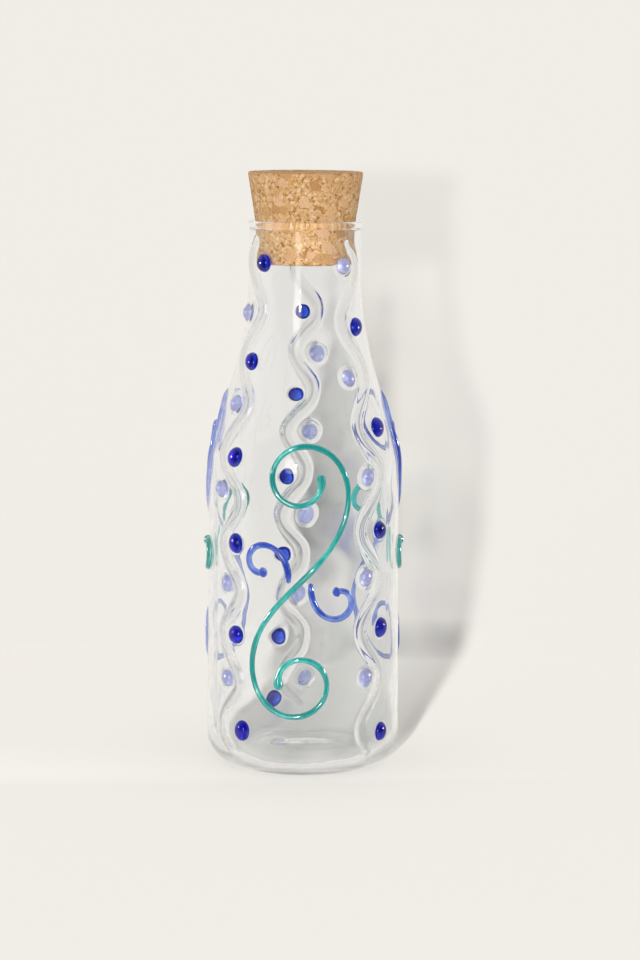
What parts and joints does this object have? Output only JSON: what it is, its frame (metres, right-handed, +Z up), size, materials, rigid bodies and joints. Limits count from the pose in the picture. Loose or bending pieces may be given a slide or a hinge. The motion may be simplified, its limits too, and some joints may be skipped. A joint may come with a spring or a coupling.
{
  "type": "carafe",
  "caption": "Round-shouldered clear glass carafe with wavy clear trails, coloured dots and scrolls on its wall, and a tapered cork pushed into its neck.",
  "frame": {"origin": "middle of the foot, on the surface that the carafe stands on", "axes": "+Z up along the axis of the bottle and the cork, -Y towards the front panel, +X to the viewer's right"},
  "size_m": [0.0932, 0.0937, 0.2739],
  "materials": {
    "clear_glass": "clear, fire polished",
    "cork": "raw agglomerated cork, matte",
    "cobalt_glass": "dark cobalt, glossy",
    "lavender_glass": "milky lavender, glossy",
    "teal_glass": "teal, glossy",
    "blue_glass": "mid blue, glossy"
  },
  "bodies": {
    "carafe": {"clear_wave_back": "clear_glass", "clear_wave_left": "clear_glass", "clear_wave_right": "clear_glass", "cobalt_dot_back_1": "cobalt_glass", "cobalt_dot_back_2": "cobalt_glass", "cobalt_dot_back_3": "cobalt_glass", "cobalt_dot_back_4": "cobalt_glass", "cobalt_dot_back_5": "cobalt_glass", "cobalt_dot_back_6": "cobalt_glass", "cobalt_dot_left_1": "cobalt_glass", "cobalt_dot_left_2": "cobalt_glass", "cobalt_dot_left_3": "cobalt_glass", "cobalt_dot_left_4": "cobalt_glass", "cobalt_dot_left_5": "cobalt_glass", "cobalt_dot_left_6": "cobalt_glass", "cobalt_dot_right_1": "cobalt_glass", "cobalt_dot_right_2": "cobalt_glass", "cobalt_dot_right_3": "cobalt_glass", "cobalt_dot_right_4": "cobalt_glass", "cobalt_dot_right_5": "cobalt_glass", "curl_front_lower": "blue_glass", "curl_front_upper": "blue_glass", "curl_left_lower": "teal_glass", "curl_left_upper": "teal_glass", "curl_right_lower": "teal_glass", "curl_right_upper": "teal_glass", "glass_body": "clear_glass", "lavender_dot_back_1": "lavender_glass", "lavender_dot_back_2": "lavender_glass", "lavender_dot_back_3": "lavender_glass", "lavender_dot_back_4": "lavender_glass", "lavender_dot_back_5": "lavender_glass", "lavender_dot_left_1": "lavender_glass", "lavender_dot_left_2": "lavender_glass", "lavender_dot_left_3": "lavender_glass", "lavender_dot_left_4": "lavender_glass", "lavender_dot_left_5": "lavender_glass", "lavender_dot_right_1": "lavender_glass", "lavender_dot_right_2": "lavender_glass", "lavender_dot_right_3": "lavender_glass", "lavender_dot_right_4": "lavender_glass", "lavender_dot_right_5": "lavender_glass", "scroll_front": "teal_glass", "scroll_left": "blue_glass", "scroll_right": "blue_glass"},
    "stopper": {"cork_stopper": "cork"}
  },
  "joints": [
    {"name": "stopper_lift", "type": "slide", "parent": "carafe", "child": "stopper", "axis": [0, 0, 1], "range_m": [0, 0.075]}
  ]
}
